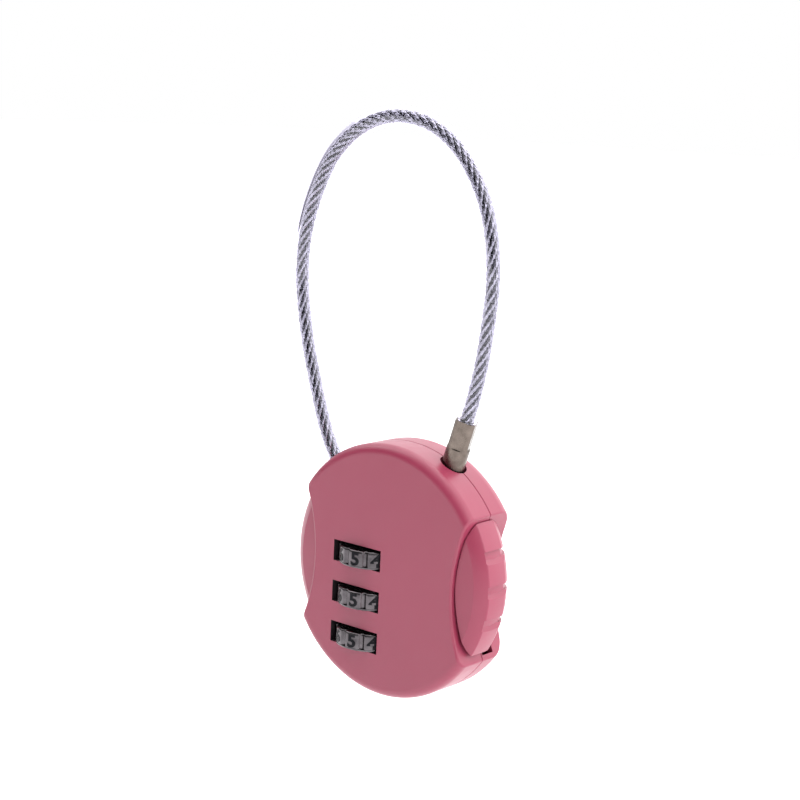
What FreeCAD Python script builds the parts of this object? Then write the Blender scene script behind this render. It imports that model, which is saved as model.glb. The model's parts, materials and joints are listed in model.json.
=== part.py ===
"""Cable luggage lock: a round two-shell body, number wheels, a pull-down slider and a cable loop.

Frame: +Z points up to the cable loop, -Y is the front with the number windows.
Positions below are measured from the plane where the two shells meet. The sheet's parting_y
moves everything along +Y once, so that the origin is the centre of the body's box.
"""
import FreeCAD, Part
import math
import os
import re
import Sketcher

V = FreeCAD.Vector
Z_AXIS = V(0, 0, 1)

doc = FreeCAD.newDocument("cable_lock")
dims = doc.addObject("Spreadsheet::Sheet", "Dims")

# Driving dimensions in millimetres, or degrees where the name ends in turn.
SIZES = {
    "shells": [
        ("parting_y", 0.86), ("body_radius", 22.5), ("shell_depth", 6.3),
        ("front_round", 1.75), ("rear_round", 3.1), ("seam_chamfer", 0.15),
        ("plate_thickness", 1.2), ("wall_thickness", 1.4),
        ("lens_centre_x", 46.75), ("lens_radius", 31.0), ("lens_wall", 1.3), ("lens_round", 0.45),
        ("ear_slot_low_z", -3.9), ("ear_slot_top_z", 2.9), ("ear_slot_depth_y", 1.8),
        ("ear_slot_inner_x", 14.2), ("ear_slot_outer_x", 17.5),
        ("tip_pocket_inner_x", 15.6), ("tip_pocket_width", 3.4), ("tip_pocket_front_y", 0.3),
        ("tip_pocket_depth", 2.9), ("tip_pocket_low_z", -13.4), ("tip_pocket_height", 2.6),
        ("tip_pocket_radius", 21.75),
    ],
    "number wheels": [
        ("wheel_x", -5.54), ("wheel_y", -1.77), ("wheel_radius", 6.25), ("wheel_pitch", 7.46),
        ("window_top_z", 1.85), ("window_width", 10.93), ("window_height", 3.82),
        ("wheel_below", 1.78), ("wheel_above", 1.32), ("wheel_bore", 2.65), ("wheel_turn", 8.5),
        ("groove_width", 1.0), ("digit_count", 10),
        ("keyway_radius", 3.4), ("keyway_width", 1.2), ("relief_radius", 3.6),
        ("relief_below", 0.6),
    ],
    "code sleeves and spindle": [
        ("sleeve_radius", 2.55), ("sleeve_bore", 2.0), ("sleeve_below", 5.7), ("sleeve_above", 1.5),
        ("lip_radius", 1.55), ("lip_below", 0.2), ("lip_height", 0.8), ("gate_width", 0.9),
        ("key_radius", 3.3), ("key_width", 1.0), ("key_below", 1.7), ("key_height", 0.95),
        ("spindle_radius", 0.9), ("spindle_low_z", -14.0), ("spindle_head_radius", 1.5),
        ("spindle_head_height", 0.65), ("fin_radius", 1.45), ("fin_width", 0.8),
        ("fin_above", 0.75), ("fin_height", 0.6),
    ],
    "slider yoke": [
        ("slider_travel", 1.6), ("beam_low_z", 8.05), ("beam_top_z", 9.75), ("beam_front_y", 0.1),
        ("beam_rear_y", 1.6), ("arm_outer_x", 14.1), ("arm_width", 1.3), ("ear_outer_x", 19.0),
        ("ear_low_z", -2.0), ("ear_top_z", 2.6), ("lug_half_width", 2.65), ("lug_front_y", -3.6),
        ("lug_hole_radius", 0.95), ("link_left_x", 5.9), ("link_right_x", 8.6),
        ("finger_front_y", 3.0), ("finger_rear_y", 4.2), ("stem_left", 0.9), ("stem_right", 0.5),
        ("stem_top_t", -4.6), ("wedge_full_t", -3.6), ("wedge_top_t", -2.6),
        ("wedge_left", 2.57), ("wedge_right", 1.63), ("pin_x", 17.8), ("pin_radius", 0.6),
        ("pin_low_y", -1.6), ("pin_clearance", 0.05),
    ],
    "grips": [
        ("grip_gap", 0.2), ("grip_inner_r", 14.0), ("grip_flat_r", 15.9), ("grip_face_y", -5.5),
        ("grip_shoulder_r", 19.6),
        ("grip_shoulder_y", -5.15), ("grip_crease_r", 21.75), ("grip_crease_y", -3.6),
        ("grip_front_arc", 6.0), ("grip_band_y", 0.9), ("grip_band_arc", 26.0),
        ("grip_rear_y", 5.4), ("grip_rear_r", 16.6), ("grip_rear_arc", 7.2),
        ("crease_round", 0.35), ("grip_bottom_z", -11.1), ("rib_top_z", 7.35), ("rib_pitch", 5.85),
        ("rib_height", 2.3), ("rib_depth", 0.5), ("rib_floor", 1.3), ("rib_run_out", 0.15), ("rib_lead", 0.15),
        ("rib_count", 3), ("ear_play", 0.05),
    ],
    "dial frame": [
        ("frame_left_x", -12.6), ("frame_right_x", 1.85), ("frame_front_y", -4.9),
        ("frame_rear_y", 4.5), ("frame_low_z", -16.2), ("frame_top_z", 6.3), ("shelf_height", 0.8),
        ("rail_left_width", 0.6), ("rail_right_width", 0.9), ("web_gap", 0.18), ("web_top", 0.8),
        ("web_bore", 2.7), ("shelf_bore", 1.15), ("ledge_right_x", 9.6), ("ledge_front_y", -1.2),
        ("ledge_rear_y", 2.8), ("ledge_height", 1.0),
    ],
    "springs": [
        ("return_x", 7.5), ("return_y", 0.85), ("return_coil", 1.6), ("return_wire", 0.19),
        ("return_turns", 6), ("reset_coil", 2.1), ("reset_wire", 0.18), ("reset_turns", 2),
        ("reset_spring_low", 3.4), ("reset_spring_high", 5.45), ("leaf_front_y", 4.72),
        ("leaf_thickness", 0.3), ("leaf_spine_width", 1.2), ("leaf_tip_x", -3.9),
        ("leaf_finger_height", 1.6), ("leaf_bump_radius", 0.35), ("latch_wire", 0.4),
        ("latch_leg_offset", 1.65), ("latch_front_y", -2.6), ("latch_rear_y", 4.2),
    ],
    "reset": [
        ("reset_radius", 1.0), ("reset_hole", 1.1), ("reset_low_z", -21.3),
        ("flange_radius", 2.2), ("flange_low_z", -19.4), ("flange_top_z", -18.9),
    ],
    "cable end": [
        ("port_x", 9.95), ("port_z", 20.05), ("port_lean_x", 0.291), ("port_lean_z", 0.957),
        ("port_hole", 2.45), ("plug_radius", 2.05), ("plug_inner_t", -8.8), ("plug_outer_t", 3.3),
        ("plug_point", 0.6), ("groove_t", -5.2), ("plug_groove_radius", 1.2),
        ("plug_groove_width", 1.0), ("ferrule_top_t", 8.43), ("ferrule_radius", 2.1),
        ("ferrule_flat", 3.55), ("ferrule_flat_turn", 24.0), ("block_half", 3.2),
        ("block_front_y", -3.2), ("block_rear_y", 2.8), ("block_low_t", -9.4),
        ("block_top_t", -2.6), ("block_bore", 2.3), ("block_slot", 1.0), ("block_slot_half", 2.75),
    ],
    "cable": [
        ("jacket_radius", 1.75), ("core_radius", 1.25), ("cable_hole", 1.85),
        ("anchor_radius", 2.4), ("anchor_length", 3.2), ("cradle_radius", 3.1),
        ("cradle_length", 4.0),
    ],
    "screws": [
        ("boss_radius", 1.75), ("screw_head_radius", 1.5), ("screw_sink_radius", 1.6),
        ("screw_sink_depth", 1.0), ("screw_head_height", 0.9), ("screw_shank_radius", 0.75),
        ("screw_hole_radius", 0.8), ("screw_reach_y", -3.8), ("recess_width", 0.35),
        ("recess_length", 1.9), ("recess_depth", 0.45),
    ],
}

# The screws' places on the rear face (x, z).
SCREWS = [(-8.3, 15.2), (-14.4, -10.0), (6.2, -16.0), (12.4, -7.5)]

# The cable's route from the anchor's outer face to the ferrule's top (x, z).
ROUTE = [(-15.3, 14.4), (-19.0, 19.2), (-22.1, 27.6), (-25.6, 38.3), (-27.6, 51.2), (-25.3, 62.5),
         (-19.1, 73.6), (-7.5, 79.2), (5.1, 76.5), (13.8, 66.4), (16.6, 54.4), (15.6, 42.8),
         (14.1, 33.7), (12.403, 28.118)]

WHEELS = ["top", "middle", "bottom"]
SIDES = [("left", -1), ("right", 1)]


def fill_sheet():
    row = 1
    for group, values in SIZES.items():
        dims.set("A%d" % row, group)
        row += 1
        for alias, number in values:
            dims.set("A%d" % row, alias)
            dims.set("B%d" % row, str(number))
            dims.setAlias("B%d" % row, alias)
            row += 1
    doc.recompute()


def size(text):
    """The value of an expression written with the sheet's aliases."""
    return float(dims.evalExpression(text))


def bind(obj, prop, text):
    """Bind a property to an expression. Every alias has an underscore in its name."""
    obj.setExpression(prop, re.sub(r"\b([a-z]+(?:_[a-z]+)+)\b", r"Dims.\1", text))


def place(obj, x, y, z):
    """Put an object at a point measured from the parting plane."""
    bind(obj, "Placement.Base.x", x)
    bind(obj, "Placement.Base.y", "parting_y + (%s)" % y)
    bind(obj, "Placement.Base.z", z)


def box(name, low, high):
    """A box between two corners, each given as three expressions."""
    obj = doc.addObject("Part::Box", name)
    for prop, start, end in zip(("Length", "Width", "Height"), low, high):
        bind(obj, prop, "(%s) - (%s)" % (end, start))
    place(obj, *low)
    return obj


def cylinder(name, radius, length, base, direction=Z_AXIS):
    """A cylinder from its base point along a direction."""
    obj = doc.addObject("Part::Cylinder", name)
    bind(obj, "Radius", radius)
    bind(obj, "Height", length)
    obj.Placement.Rotation = FreeCAD.Rotation(Z_AXIS, direction)
    place(obj, *base)
    return obj


def cut(name, base, tools):
    tool = tools[0]
    if len(tools) > 1:
        tool = fuse(name + "_tool", tools)
    obj = doc.addObject("Part::Cut", name)
    obj.Base = base
    obj.Tool = tool
    return obj


def fuse(name, parts):
    obj = doc.addObject("Part::MultiFuse", name)
    obj.Shapes = parts
    return obj


def common(name, parts):
    obj = doc.addObject("Part::MultiCommon", name)
    obj.Shapes = parts
    return obj


def finish(obj, label):
    """Give a finished sub-part the name of its file."""
    obj.Label = label
    PIECES[label] = obj
    return obj


PIECES = {}


# ---- PartDesign helpers ----

def new_body(name, x="0", y="0", z="0"):
    body = doc.addObject("PartDesign::Body", name)
    place(body, x, y, z)
    return body


def origin_feature(body, role):
    return [item for item in body.Origin.OriginFeatures if item.Role == role][0]


def new_sketch(body, name, plane, offset=None):
    sketch = body.newObject("Sketcher::SketchObject", name)
    sketch.AttachmentSupport = (origin_feature(body, plane), [""])
    sketch.MapMode = "FlatFace"
    if offset:
        bind(sketch, "AttachmentOffset.Base.z", offset)
    return sketch


def pin_point(sketch, geometry, point, u, v):
    """Fix a point of a sketch's geometry at two expressions, measured from the sketch's origin."""
    for kind, text in (("DistanceX", u), ("DistanceY", v)):
        number = sketch.addConstraint(Sketcher.Constraint(kind, -1, 1, geometry, point, size(text)))
        bind(sketch, "Constraints[%d]" % number, text)


def add_circle(sketch, u, v, radius):
    centre = V(size(u), size(v), 0)
    index = sketch.addGeometry(Part.Circle(centre, Z_AXIS, size(radius)), False)
    pin_point(sketch, index, 3, u, v)
    number = sketch.addConstraint(Sketcher.Constraint("Radius", index, size(radius)))
    bind(sketch, "Constraints[%d]" % number, radius)


def arc_middle(start, end, radius):
    """The middle of the arc that bulges to the right of the way from start to end."""
    chord = end - start
    half = chord.Length / 2
    rise = radius - math.sqrt(radius * radius - half * half)
    return (start + end) * 0.5 + V(chord.y, -chord.x, 0).normalize() * rise


def add_outline(sketch, corners):
    """A closed outline. A corner is (u, v), or (u, v, radius) where an arc leads to the next."""
    points = [V(size(c[0]), size(c[1]), 0) for c in corners]
    ends = []
    for i, corner in enumerate(corners):
        start = points[i]
        end = points[(i + 1) % len(points)]
        if len(corner) == 2:
            index = sketch.addGeometry(Part.LineSegment(start, end), False)
            ends.append((index, 1, 2))
            continue
        middle = arc_middle(start, end, size(corner[2]))
        index = sketch.addGeometry(Part.Arc(start, middle, end), False)
        same_way = sketch.getPoint(index, 1).distanceToPoint(start) < 1e-6
        ends.append((index, 1, 2) if same_way else (index, 2, 1))
    for i, corner in enumerate(corners):
        before = ends[i - 1]
        here = ends[i]
        sketch.addConstraint(Sketcher.Constraint("Coincident", before[0], before[2], here[0], here[1]))
        pin_point(sketch, here[0], here[1], corner[0], corner[1])
        if len(corner) == 3:
            number = sketch.addConstraint(Sketcher.Constraint("Radius", here[0], size(corner[2])))
            bind(sketch, "Constraints[%d]" % number, corner[2])


def pad(body, name, sketch, length, backwards=False):
    feature = body.newObject("PartDesign::Pad", name)
    feature.Profile = sketch
    bind(feature, "Length", length)
    feature.Reversed = backwards
    doc.recompute()
    return feature


def pocket(body, name, sketch, length, backwards=False):
    """A pocket, stopped if it took nothing away."""
    before = body.Shape.Volume
    feature = body.newObject("PartDesign::Pocket", name)
    feature.Profile = sketch
    bind(feature, "Length", length)
    feature.Reversed = backwards
    doc.recompute()
    if body.Shape.Volume > before - 1e-6:
        raise RuntimeError(name + " takes nothing away")
    return feature


def revolve(body, name, sketch, axis):
    feature = body.newObject("PartDesign::Revolution", name)
    feature.Profile = sketch
    feature.ReferenceAxis = (origin_feature(body, axis), [""])
    feature.Angle = 360
    doc.recompute()
    return feature


def edges_where(feature, test):
    """Names of the edges whose every sampled point passes the test."""
    names = []
    for i, edge in enumerate(feature.Shape.Edges):
        first, last = edge.ParameterRange
        samples = [edge.valueAt(first + (last - first) * k / 4.0) for k in range(5)]
        if all(test(p) for p in samples):
            names.append("Edge%d" % (i + 1))
    return names


def prism(name, corners, low_y, high_y):
    """A straight-sided solid along Y, its outline given in x and z."""
    sketch = doc.addObject("Sketcher::SketchObject", name + "_outline")
    add_outline(sketch, corners)
    sketch.Placement.Rotation = FreeCAD.Rotation(V(1, 0, 0), 90)
    place(sketch, "0", low_y, "0")
    obj = doc.addObject("Part::Extrusion", name)
    obj.Base = sketch
    obj.DirMode = "Custom"
    obj.Dir = V(0, 1, 0)
    bind(obj, "LengthFwd", "(%s) - (%s)" % (high_y, low_y))
    obj.Solid = True
    return obj


def dress(body, kind, name, base, edges, prop, text):
    """A fillet or a chamfer on some of a feature's edges."""
    feature = body.newObject("PartDesign::" + kind, name)
    feature.Base = (base, edges)
    bind(feature, prop, text)
    doc.recompute()
    return feature


# ---- Shells ----

def lens_shift(side):
    return "%d * lens_centre_x" % side


def shell_body(name, rear, edge_round):
    """The outer form of one shell: a disc with a rounded edge and a lens cut out at each side."""
    body = new_body(name)
    outline = new_sketch(body, name + "_disc", "XZ_Plane")
    add_circle(outline, "0", "0", "body_radius")
    disc = pad(body, name + "_pad", outline, "shell_depth", rear)
    depth = size("shell_depth")
    face_y = depth if rear else -depth
    outer = edges_where(disc, lambda p: abs(p.y - face_y) < 1e-6)
    dress(body, "Fillet", name + "_edge", disc, outer, "Radius", edge_round)
    lens = new_sketch(body, name + "_lens", "XZ_Plane")
    for side, sign in SIDES:
        add_circle(lens, lens_shift(sign), "0", "lens_radius")
    pocket(body, name + "_cutouts", lens, "shell_depth * 2", not rear)
    return body


def on_lens(point):
    """Whether a point lies on the wall of a cutout."""
    reach = math.hypot(abs(point.x) - size("lens_centre_x"), point.z)
    return abs(reach - size("lens_radius")) < 1e-4


def soften_cutouts(body, name, rear):
    """Round the cutouts' edges, then chamfer the seam."""
    cutouts = body.Tip
    chain = [e for e in edges_where(cutouts, on_lens) if not lies_on_seam(cutouts, e)]
    rounded = dress(body, "Fillet", name + "_lens_edge", cutouts, chain, "Radius", "lens_round")
    seam = edges_where(rounded, lambda p: abs(p.y) < 1e-6)
    dress(body, "Chamfer", name + "_seam", rounded, seam, "Size", "seam_chamfer")


def lies_on_seam(feature, edge_name):
    edge = feature.Shape.Edges[int(edge_name[4:]) - 1]
    return all(abs(v.Point.y) < 1e-6 for v in edge.Vertexes)


def lens_cylinders(name, radius, base_y, length):
    return [cylinder("%s_%s" % (name, side), radius, length, (lens_shift(sign), base_y, "0"), V(0, 1, 0))
            for side, sign in SIDES]


def port_point(t, across="0"):
    """Expressions for a point t along the cable end's axis and some way across it."""
    x = "port_x + (%s) * port_lean_x + (%s) * port_lean_z" % (t, across)
    z = "port_z + (%s) * port_lean_z - (%s) * port_lean_x" % (t, across)
    return x, z


def port_axis():
    return V(size("port_lean_x"), 0, size("port_lean_z"))


def cable_start():
    """The route's first point and the direction in which the cable leaves the body."""
    start = V(ROUTE[0][0], 0, ROUTE[0][1])
    after = V(ROUTE[1][0], 0, ROUTE[1][1])
    return start, (after - start).normalize()


def cable_cylinder(name, radius, inside, outside):
    """A cylinder on the cable's own axis, from some way inside its start to some way outside."""
    start, way = cable_start()
    base = start - way * size(inside)
    length = "(%s) + (%s)" % (inside, outside)
    return cylinder(name, radius, length, ("%.4f" % base.x, "0", "%.4f" % base.z), way)


def cavity(name, rear):
    """The hollow of one shell. Screw bosses and the anchor's cradle stand in it."""
    base_y = "0" if rear else "plate_thickness - shell_depth"
    length = "shell_depth - plate_thickness"
    room = cylinder(name + "_room", "body_radius - wall_thickness", length, ("0", base_y, "0"), V(0, 1, 0))
    solid = lens_cylinders(name + "_lens", "lens_radius + lens_wall", base_y, length)
    for i, (x, z) in enumerate(SCREWS):
        solid.append(cylinder("%s_boss_%d" % (name, i), "boss_radius", length,
                              (str(x), base_y, str(z)), V(0, 1, 0)))
    solid.append(cable_cylinder(name + "_cradle", "cradle_radius", "cradle_length", "2"))
    return cut(name, room, solid)


def wheel_z(index):
    return "window_top_z - %d * wheel_pitch" % index


def shell_openings(name):
    """Holes that both shells share: the cable's two ports and the anchor's seat."""
    x, z = port_point("block_low_t")
    port = cylinder(name + "_port", "port_hole", "4 - block_low_t", (x, "0", z), port_axis())
    hole = cable_cylinder(name + "_cable", "cable_hole", "0.5", "6")
    seat = cable_cylinder(name + "_seat", "anchor_radius", "anchor_length", "0")
    return [port, hole, seat]


def make_front_shell():
    body = shell_body("front", False, "front_round")
    soften_cutouts(body, "front", False)
    tools = [cavity("front_cavity", False)] + shell_openings("front")
    for i, wheel in enumerate(WHEELS):
        middle = wheel_z(i)
        tools.append(box("window_" + wheel,
                         ("wheel_x - window_width / 2", "-shell_depth - 1", middle + " - window_height / 2"),
                         ("wheel_x + window_width / 2", "-shell_depth + 2", middle + " + window_height / 2")))
    tools.append(cylinder("front_reset_hole", "reset_hole", "6", ("wheel_x", "wheel_y", "-body_radius - 1")))
    for i, (x, z) in enumerate(SCREWS):
        tools.append(cylinder("front_pilot_%d" % i, "screw_hole_radius", "0.6 - screw_reach_y",
                              (str(x), "screw_reach_y - 0.1", str(z)), V(0, 1, 0)))
    finish(cut("front_shell_solid", body, tools), "front_shell")


def make_rear_shell():
    body = shell_body("rear", True, "rear_round")
    soften_cutouts(body, "rear", True)
    tools = [cavity("rear_cavity", True)] + shell_openings("rear")
    for side, sign in SIDES:
        inner, outer = "ear_slot_inner_x", "ear_slot_outer_x"
        low, high = mirrored(sign, inner, outer)
        tools.append(box("ear_slot_" + side, (low, "-0.5", "ear_slot_low_z"),
                         (high, "ear_slot_depth_y", "ear_slot_top_z")))
        low, high = mirrored(sign, "tip_pocket_inner_x", "tip_pocket_inner_x + tip_pocket_width")
        slot = box("tip_slot_" + side, (low, "tip_pocket_front_y", "tip_pocket_low_z"),
                   (high, "tip_pocket_front_y + tip_pocket_depth", "tip_pocket_low_z + tip_pocket_height"))
        limit = cylinder("tip_limit_" + side, "tip_pocket_radius", "shell_depth", ("0", "0", "0"), V(0, 1, 0))
        tools.append(common("tip_pocket_" + side, [slot, limit]))
    for i, (x, z) in enumerate(SCREWS):
        tools.append(cylinder("rear_hole_%d" % i, "screw_hole_radius", "shell_depth + 2",
                              (str(x), "-1", str(z)), V(0, 1, 0)))
        tools.append(cylinder("rear_sink_%d" % i, "screw_sink_radius", "screw_sink_depth + 1",
                              (str(x), "shell_depth - screw_sink_depth", str(z)), V(0, 1, 0)))
    finish(cut("rear_shell_solid", body, tools), "rear_shell")


def mirrored(sign, inner, outer):
    """The low and high x of a span that is given on the right side."""
    if sign > 0:
        return inner, outer
    return "-(%s)" % outer, "-(%s)" % inner


# ---- Grips ----

def grip_ring(name, inset="0"):
    """The turned ring that both grips are cut from, drawn in by the inset. Its seam lies away from both."""
    body = new_body(name)
    body.Placement.Rotation = FreeCAD.Rotation(V(0, 1, 0), 90)
    profile = new_sketch(body, name + "_profile", "XY_Plane")
    add_outline(profile, [
        ("grip_inner_r", "grip_face_y"),
        ("grip_flat_r - " + inset, "grip_face_y"),
        ("grip_shoulder_r - " + inset, "grip_shoulder_y", "grip_front_arc"),
        ("grip_crease_r - " + inset, "grip_crease_y", "grip_band_arc"),
        ("grip_crease_r - " + inset, "grip_band_y", "grip_rear_arc"),
        ("grip_rear_r - " + inset, "grip_rear_y"),
        ("grip_inner_r", "grip_rear_y"),
    ])
    ring = revolve(body, name + "_turned", profile, "Y_Axis")
    crease = edges_where(ring, lambda p: abs(p.y - size("grip_crease_y")) < 1e-4)
    dress(body, "Fillet", name + "_crease", ring, crease, "Radius", "crease_round")
    return body


def rib_grooves(name, sign):
    """Grooves from the front crease round to the rear: a steep upper step, a flat floor, a lower ramp."""
    slabs = []
    inside = "%d * grip_inner_r / 2" % sign
    outside = "%d * (body_radius + 1)" % sign
    for i in range(int(size("rib_count"))):
        top = "rib_top_z - %d * rib_pitch" % i
        floor = top + " - rib_floor"
        low = top + " - rib_height"
        floor_x = math.sqrt(size("grip_crease_r") ** 2 - size(floor) ** 2)
        low_x = math.sqrt(size("grip_crease_r") ** 2 - size(low) ** 2)
        slabs.append(prism("%s_slab_%d" % (name, i), [
            (outside, top),
            (inside, top),
            (inside, floor),
            ("%d * (%.4f - rib_depth)" % (sign, floor_x), floor),
            ("%d * (%.4f + rib_run_out)" % (sign, low_x), low),
            (outside, low),
        ], "grip_crease_y - rib_lead", "2 * shell_depth"))
    core = grip_ring(name + "_groove_core", "rib_depth")
    return cut(name + "_grooves", fuse(name + "_slabs", slabs), [core])


def make_grip(side, sign):
    name = side + "_grip"
    body = grip_ring(name + "_ring")
    radius = "lens_radius - grip_gap"
    fit = cylinder(name + "_fit", radius, "20", (lens_shift(sign), "-10", "0"), V(0, 1, 0))
    travel = cylinder(name + "_travel", radius, "20", (lens_shift(sign), "-10", "slider_travel"), V(0, 1, 0))
    lens = common(name + "_lens", [body, fit, travel])
    low, high = mirrored(sign, "5", "30")
    floor = box(name + "_floor", (low, "-10", "-30"), (high, "10", "grip_bottom_z"))
    low, high = mirrored(sign, "10", "ear_outer_x + ear_play")
    slot = box(name + "_ear_slot", (low, "beam_front_y - ear_play", "ear_low_z - ear_play"),
               (high, "beam_rear_y + ear_play", "ear_top_z + ear_play"))
    bore = cylinder(name + "_pin_bore", "pin_radius", "20",
                    ("%d * pin_x" % sign, "pin_low_y", "0"), V(0, 1, 0))
    finish(cut(name + "_solid", lens, [rib_grooves(name, sign), floor, slot, bore]), name)


# ---- Slider yoke, its pins and the spindle ----

def make_yoke():
    body = new_body("yoke")
    outline = new_sketch(body, "yoke_outline", "XZ_Plane", "-beam_rear_y")
    arm_inner = "(arm_outer_x - arm_width)"
    right = [("ear_outer_x", "ear_low_z"), ("ear_outer_x", "ear_top_z"), ("arm_outer_x", "ear_top_z"),
             ("arm_outer_x", "beam_top_z")]
    left = [("-" + u, v) for u, v in reversed(right)]
    inside = [("-" + arm_inner, "ear_low_z"), ("-" + arm_inner, "beam_low_z"),
              (arm_inner, "beam_low_z"), (arm_inner, "ear_low_z")]
    add_outline(outline, right + left + inside)
    pad(body, "yoke_frame", outline, "beam_rear_y - beam_front_y")
    lug = new_sketch(body, "yoke_lug_outline", "XZ_Plane", "-beam_front_y")
    add_outline(lug, rectangle("wheel_x - lug_half_width", "beam_low_z",
                               "wheel_x + lug_half_width", "beam_top_z"))
    pad(body, "yoke_lug", lug, "beam_front_y - lug_front_y")
    link = new_sketch(body, "yoke_link_outline", "XZ_Plane", "-finger_rear_y")
    add_outline(link, rectangle("link_left_x", "beam_low_z", "link_right_x", "beam_top_z"))
    pad(body, "yoke_link", link, "finger_rear_y - beam_rear_y")
    finger = new_sketch(body, "yoke_finger_outline", "XZ_Plane", "-finger_rear_y")
    foot_t = "(beam_low_z + 0.6 - port_z) / port_lean_z"
    add_outline(finger, [
        port_point(foot_t, "-stem_left"), port_point(foot_t, "stem_right"),
        port_point("stem_top_t", "stem_right"), port_point("wedge_full_t", "wedge_right"),
        port_point("wedge_top_t", "wedge_right"), port_point("wedge_top_t", "-wedge_left"),
        port_point("wedge_full_t", "-wedge_left"), port_point("stem_top_t", "-stem_left"),
    ])
    pad(body, "yoke_finger", finger, "finger_rear_y - finger_front_y")
    bore = new_sketch(body, "yoke_bore_outline", "XY_Plane", "beam_top_z + 1")
    add_circle(bore, "wheel_x", "wheel_y", "lug_hole_radius")
    pocket(body, "yoke_bore", bore, "4")
    pins = new_sketch(body, "yoke_pin_outline", "XZ_Plane", "-beam_rear_y - 1")
    for side, sign in SIDES:
        add_circle(pins, "%d * pin_x" % sign, "0", "pin_radius + pin_clearance")
    pocket(body, "yoke_pin_holes", pins, "5", True)
    finish(body, "slider_yoke")


def rectangle(low_u, low_v, high_u, high_v):
    return [(low_u, low_v), (high_u, low_v), (high_u, high_v), (low_u, high_v)]


def make_grip_pins():
    pins = [cylinder("grip_pin_" + side, "pin_radius", "3.6 - pin_low_y",
                     ("%d * pin_x" % sign, "pin_low_y", "0"), V(0, 1, 0)) for side, sign in SIDES]
    finish(compound("grip_pin_pair", pins), "grip_pins")


def compound(name, parts):
    obj = doc.addObject("Part::Compound", name)
    obj.Links = parts
    return obj


def make_spindle():
    body = new_body("spindle_body", "wheel_x", "wheel_y", "0")
    profile = new_sketch(body, "spindle_profile", "XZ_Plane")
    add_outline(profile, [
        ("0", "spindle_low_z"), ("spindle_radius", "spindle_low_z"), ("spindle_radius", "beam_top_z"),
        ("spindle_head_radius", "beam_top_z"),
        ("spindle_head_radius", "beam_top_z + spindle_head_height"),
        ("0", "beam_top_z + spindle_head_height"),
    ])
    revolve(body, "spindle_turned", profile, "Z_Axis")
    for i, wheel in enumerate(WHEELS):
        base = wheel_z(i) + " + fin_above"
        fin = new_sketch(body, "fin_outline_" + wheel, "XY_Plane", base)
        add_outline(fin, rectangle("-fin_width / 2", "-fin_radius", "fin_width / 2", "0"))
        pad(body, "fin_" + wheel, fin, "fin_height")
    finish(body, "spindle")


# ---- Number wheels and code sleeves ----

def make_wheel(index, wheel):
    """A ring with a groove between each two digits, and a keyway that opens into a relief."""
    name = "number_wheel_" + wheel
    body = new_body(name + "_body", "wheel_x", "wheel_y", wheel_z(index) + " - wheel_below")
    body.Placement.Rotation = FreeCAD.Rotation(Z_AXIS, size("wheel_turn"))
    ring = new_sketch(body, name + "_ring", "XY_Plane")
    add_circle(ring, "0", "0", "wheel_radius")
    add_circle(ring, "0", "0", "wheel_bore")
    pad(body, name + "_pad", ring, "wheel_below + wheel_above")
    relief = new_sketch(body, name + "_relief_outline", "XY_Plane", "wheel_below - relief_below")
    add_circle(relief, "0", "0", "relief_radius")
    pocket(body, name + "_relief", relief, "wheel_above + relief_below", True)
    key = new_sketch(body, name + "_key_outline", "XY_Plane")
    add_outline(key, rectangle("-keyway_width / 2", "-keyway_radius", "keyway_width / 2", "0"))
    pocket(body, name + "_keyway", key, "wheel_below", True)
    groove = new_sketch(body, name + "_groove_outline", "XY_Plane")
    add_circle(groove, "wheel_radius * sin(180 / digit_count)", "-wheel_radius * cos(180 / digit_count)",
               "groove_width / 2")
    notch = pocket(body, name + "_groove", groove, "wheel_below + wheel_above", True)
    pattern = body.newObject("PartDesign::PolarPattern", name + "_grooves")
    pattern.Originals = [notch]
    pattern.Axis = (groove, ["N_Axis"])
    pattern.Angle = 360
    bind(pattern, "Occurrences", "digit_count")
    body.Tip = pattern
    doc.recompute()
    finish(body, name)


def make_sleeve(index, wheel):
    """A tube with an inner lip. A gate in the lip lets the spindle's fin past."""
    name = "code_sleeve_" + wheel
    middle = wheel_z(index)
    low = middle + " - sleeve_below"
    lip_low = middle + " - lip_below"
    tube = cylinder(name + "_tube", "sleeve_radius", "sleeve_below + sleeve_above",
                    ("wheel_x", "wheel_y", low))
    key = turned_box(name + "_key", "key_width", "-key_radius", "-sleeve_bore - 0.2",
                     middle + " - key_below", "key_height")
    gate = turned_box(name + "_gate", "gate_width", "-sleeve_bore", "0", lip_low + " - 1", "lip_height + 2")
    lower = cylinder(name + "_lower", "sleeve_bore", "sleeve_below - lip_below + 1",
                     ("wheel_x", "wheel_y", low + " - 1"))
    upper = cylinder(name + "_upper", "sleeve_bore", "3", ("wheel_x", "wheel_y", lip_low + " + lip_height"))
    lip = cylinder(name + "_lip", "lip_radius", "3", ("wheel_x", "wheel_y", lip_low + " - 1"))
    keyed = fuse(name + "_keyed", [tube, key])
    finish(cut(name + "_solid", keyed, [lower, upper, lip, gate]), name)


def turned_box(name, width, low_y, high_y, low_z, height):
    """A box on the wheels' axis, turned by the wheels' rest angle."""
    obj = doc.addObject("Part::Box", name)
    bind(obj, "Length", width)
    bind(obj, "Width", "(%s) - (%s)" % (high_y, low_y))
    bind(obj, "Height", height)
    turn = FreeCAD.Rotation(Z_AXIS, size("wheel_turn"))
    corner = turn.multVec(V(-size(width) / 2, size(low_y), 0))
    obj.Placement.Rotation = turn
    place(obj, "wheel_x + (%.5f)" % corner.x, "wheel_y + (%.5f)" % corner.y, low_z)
    return obj


# ---- Dial frame ----

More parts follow.
